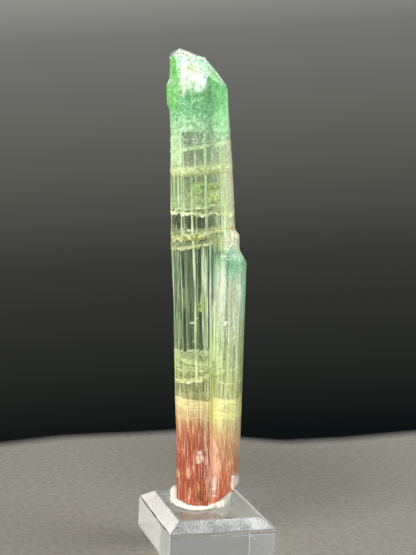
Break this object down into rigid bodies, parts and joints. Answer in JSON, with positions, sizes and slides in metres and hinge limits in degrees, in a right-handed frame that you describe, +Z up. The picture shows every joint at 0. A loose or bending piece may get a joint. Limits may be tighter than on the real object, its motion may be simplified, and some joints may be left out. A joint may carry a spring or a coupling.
{
  "type": "tourmaline crystal specimen on a display base",
  "caption": "Slender tri-colour tourmaline prism, green tip to red foot, with a smaller parallel crystal, held by putty on a clear bevelled base.",
  "frame": {"origin": "centre of the clear base's underside, on the surface it stands on", "axes": "+Z up along the crystal, +X to the right along the base's front edge, -Y towards the front"},
  "size_m": [0.021, 0.022, 0.0908],
  "materials": {
    "tourmaline": "clear to milky crystal with fine lengthwise striations, green at the tip, pale in the middle, red at the foot",
    "putty": "matt cream putty, hand-pressed and lumpy",
    "acrylic": "clear cast acrylic, polished, with finely pitted bevels"
  },
  "bodies": {
    "root": {"tourmaline_crystal": "tourmaline", "mineral_putty": "putty", "acrylic_stand": "acrylic"}
  },
  "joints": []
}
